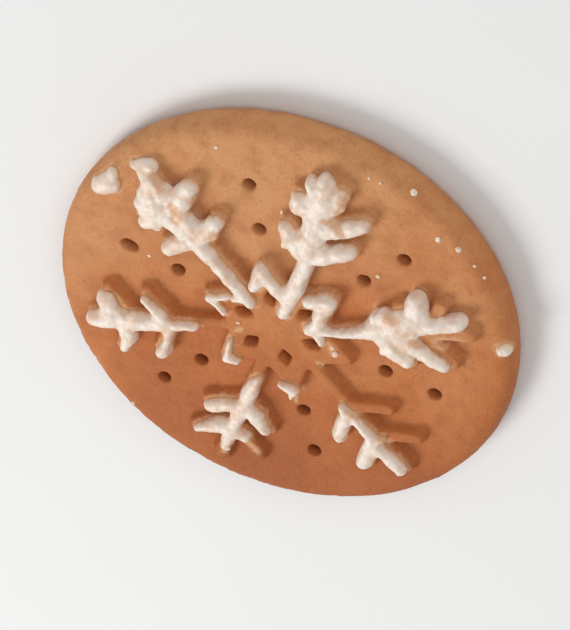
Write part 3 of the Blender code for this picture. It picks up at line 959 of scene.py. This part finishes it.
dough_look, tree, shader, place = fresh_material("baked dough", roughness=0.62, specular=0.2)
# painted light and shade: the dough is drawn paler towards +y and deeper towards -y, with a
# wavering border
across = add(tree, "ShaderNodeSeparateXYZ", {"Vector": place}).outputs["Y"]
drift = between(tree, noise(tree, place, 14), 0.3, 0.7, -12 * MM, 12 * MM)
painted_shading_across = total(tree, across, drift)
colour = mixed(tree, between(tree, painted_shading_across, -6 * MM, 24 * MM, 0.0, 0.9), DOUGH, DOUGH_PALE)
colour = mixed(tree, between(tree, painted_shading_across, -2 * MM, -28 * MM, 0.0, 0.8), colour, DOUGH_DEEP)
blotches = between(tree, noise(tree, place, 2.6, 4), 0.45, 0.7, 0.0, 0.35)
colour = mixed(tree, blotches, colour, DOUGH_DEEP)
ridge = between(tree, attribute(tree, "crease"), -0.03, -0.25, 0.0, 0.5)
colour = mixed(tree, ridge, colour, DOUGH_DEEP)
# the hollows beside the relief are drawn darker: partly browning, partly painted shade
crease_browning_and_shade = between(tree, attribute(tree, "crease"), 0.02, 0.2, 0.0, 0.45)
colour = mixed(tree, crease_browning_and_shade, colour, DOUGH_SHADE)
print("browning:", len(tree.nodes), "nodes")

# %% Spice, pores, film and holes
SPICE = (0.26, 0.075, 0.024)
FILM = (0.72, 0.41, 0.22)
PORE_SPACING = 0.9

grain = noise(tree, place, 0.28, 5, 0.7)
colour = mixed(tree, between(tree, grain, 0.57, 0.74, 0.0, 0.7), colour, SPICE)
colour = mixed(tree, between(tree, grain, 0.42, 0.3, 0.0, 0.35), colour, DOUGH_PALE)
pores = add(tree, "ShaderNodeTexVoronoi", {"Vector": place, "Scale": 1 / (PORE_SPACING * MM)})
open_pore = between(tree, pores.outputs["Distance"], 0.07, 0.16)
# painted shade: the middles of the pores are drawn darker
colour = mixed(tree, between(tree, open_pore, 0.0, 1.0, 0.3, 0.0), colour, DOUGH_SHADE)
patchy = between(tree, noise(tree, place, 0.7), 0.3, 0.7, -0.3, 0.3)
wiped = total(tree, attribute(tree, "film"), patchy)
colour = mixed(tree, between(tree, wiped, 0.2, 0.9, 0.0, 0.75), colour, FILM)
# painted shade: the deeper a point lies inside a hole or pit, the darker it is drawn
hole_shade = between(tree, attribute(tree, "burrow"), 0.1, 1.3, 0.0, 0.2)
colour = mixed(tree, hole_shade, colour, DOUGH_SHADE)
tree.links.new(colour, shader.inputs["Base Color"])
crumb = noise(tree, place, 0.9)
bumps(tree, shader, (grain, 0.6, 0.15), (crumb, 0.4, 0.14), (open_pore, 0.5, 0.08))
dough.data.materials.clear()
dough.data.materials.append(dough_look)
print("dough:", len(tree.nodes), "nodes")

# %% [markdown]
# ### Dried icing
# Sugar icing dries satin and creamy white, and light goes a little way into it, which softens its
# shadows. Subsurface scattering does that. The icing is warmer in soft patches. In others it is
# meagre, so that the dough's colour comes through, most of all where it was scraped. Where it is
# thin at its edges it turns yellow, and then brown.

# %% Dried icing
ICING = (0.84, 0.715, 0.605)
ICING_WARM = (0.77, 0.52, 0.34)
ICING_EDGE = (0.68, 0.36, 0.17)

icing_look, tree, shader, place = fresh_material("dried icing", roughness=0.42, specular=0.4)
shader.inputs["Subsurface Weight"].default_value = 0.25
shader.inputs["Subsurface Radius"].default_value = (1.0, 0.7, 0.45)
shader.inputs["Subsurface Scale"].default_value = 0.6 * MM
warm = between(tree, noise(tree, place, 2.0), 0.5, 0.68, 0.0, 0.6)
colour = mixed(tree, warm, ICING, ICING_WARM)
meagre = between(tree, noise(tree, place, 3.6, 4, 0.6), 0.50, 0.66, 0.0, 0.4)
colour = mixed(tree, meagre, colour, ICING_EDGE)
ragged = between(tree, noise(tree, place, 1.1, 4, 0.65), 0.3, 0.7, -0.3, 0.3)
scraped = total(tree, attribute(tree, "scraped"), ragged)
colour = mixed(tree, between(tree, scraped, 0.1, 0.6, 0.0, 0.72), colour, ICING_EDGE)
stray = between(tree, noise(tree, place, 0.6), 0.3, 0.7, -0.18, 0.18)
layer = total(tree, attribute(tree, "thick"), stray)
colour = mixed(tree, between(tree, layer, 0.66, 0.26, 0.0, 0.8), colour, ICING_WARM)
colour = mixed(tree, between(tree, layer, 0.30, 0.08, 0.0, 0.9), colour, ICING_EDGE)
tree.links.new(colour, shader.inputs["Base Color"])
sugar = noise(tree, place, 0.35, 4)
dimples = noise(tree, place, 1.2, 2)
bumps(tree, shader, (sugar, 0.2, 0.05), (dimples, 0.2, 0.08))
for icing in [*icings.values(), drops]:
    icing.data.materials.clear()
    icing.data.materials.append(icing_look)
print("icing:", len(tree.nodes), "nodes")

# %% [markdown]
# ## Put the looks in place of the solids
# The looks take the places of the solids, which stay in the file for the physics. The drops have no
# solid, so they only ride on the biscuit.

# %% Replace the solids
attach(dough, "root")
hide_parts("biscuit")
for name, icing in icings.items():
    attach(icing, "root")
    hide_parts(name)
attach(drops, "root")
print(f"{1 + len(icings)} solids are replaced, and the drops ride along")

# %% [markdown]
# ## Floor and light
# The biscuit lies on a plain pale sheet. A soft key lamp shines from beyond it, as the camera sees
# it, and gives the relief its shadows. A larger and weaker fill lamp on the camera's side opens
# them up, and a pale room lights what is left. Floor, lamps and room aren't part of the biscuit.

# %% Floor
FLOOR_SIZE = 3           # metres
PAPER = (0.82, 0.81, 0.79)
PAPER_PALE = (0.85, 0.84, 0.82)

bpy.ops.object.select_all(action="DESELECT")
bpy.ops.mesh.primitive_plane_add(size=FLOOR_SIZE)
floor = named("floor")
paper, tree, shader, place = fresh_material("pale paper", roughness=0.8, specular=0.2)
tone = mixed(tree, noise(tree, place, 40), PAPER, PAPER_PALE)
tree.links.new(tone, shader.inputs["Base Color"])
floor.data.materials.append(paper)
floor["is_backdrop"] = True
print(f"the floor is {floor.dimensions.x:.0f} m wide")

# %% Lamps and room
ROOM_COLOUR = (0.95, 0.97, 1.0)
ROOM_STRENGTH = 0.47


def lamp(name, toward, distance, size, power):
    """A square soft lamp that shines on the biscuit from this direction, in metres and watts."""
    way = Vector(toward).normalized()
    bpy.ops.object.light_add(type="AREA", location=way * distance,
                             rotation=way.to_track_quat("Z", "Y").to_euler())
    light = bpy.context.object
    light.name = name
    light.data.size = size
    light.data.energy = power


lamp("key lamp", toward=(-0.60, -0.42, 0.70), distance=0.7, size=0.30, power=3.0)
lamp("fill lamp", toward=(0.5, 0.6, 0.7), distance=0.9, size=0.6, power=2.1)
world = bpy.data.worlds.new("pale room")
bpy.context.scene.world = world
world.use_nodes = True
room = world.node_tree.nodes["Background"]
room.inputs["Color"].default_value = (*ROOM_COLOUR, 1)
room.inputs["Strength"].default_value = ROOM_STRENGTH
print(f"two lamps, and a room of strength {ROOM_STRENGTH}")

# %% [markdown]
# ## Camera
# The photograph looks at the biscuit's face from about 45 degrees, and the rim's near side is at
# the upper right of the picture. The camera stands where the photographer's stood, as seen from the
# biscuit, and a longer lens brings the biscuit up to fill the frame.

# %% Camera
CAMERA_PLACE = (278.9, 440.1, 535.7)
CAMERA_UP = (-0.022, 0.833, -0.553)
LOOK_AT = (0.0, 0.0, 4.5)     # inside the biscuit, a little below the middle of its face
LENS = 345.0             # focal length
NEAREST = 0.01           # metres: nothing nearer to the camera is drawn

back = (Vector(CAMERA_PLACE) - Vector(LOOK_AT)).normalized()
across = Vector(CAMERA_UP).cross(back).normalized()
up = back.cross(across)
bpy.ops.object.camera_add(location=Vector(CAMERA_PLACE) * MM)
camera = bpy.context.object
camera.rotation_euler = Matrix((across, up, back)).transposed().to_euler()
camera.data.lens = LENS
camera.data.clip_start = NEAREST
bpy.context.scene.view_settings.view_transform = "Standard"
bpy.context.scene.camera = camera
print(f"the camera is {camera.location.length / MM:.0f} mm from the biscuit")

# %% [markdown]
# ## Sizes
# The last thing is to print the box of the solids and the box of the looks, so they can be
# compared.

# %% Write the sizes
looks_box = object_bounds()
for name, (low, high) in (("solids", cad_box), ("looks", looks_box)):
    print(name, [round((b - a) / MM, 2) for a, b in zip(low, high)], "mm")
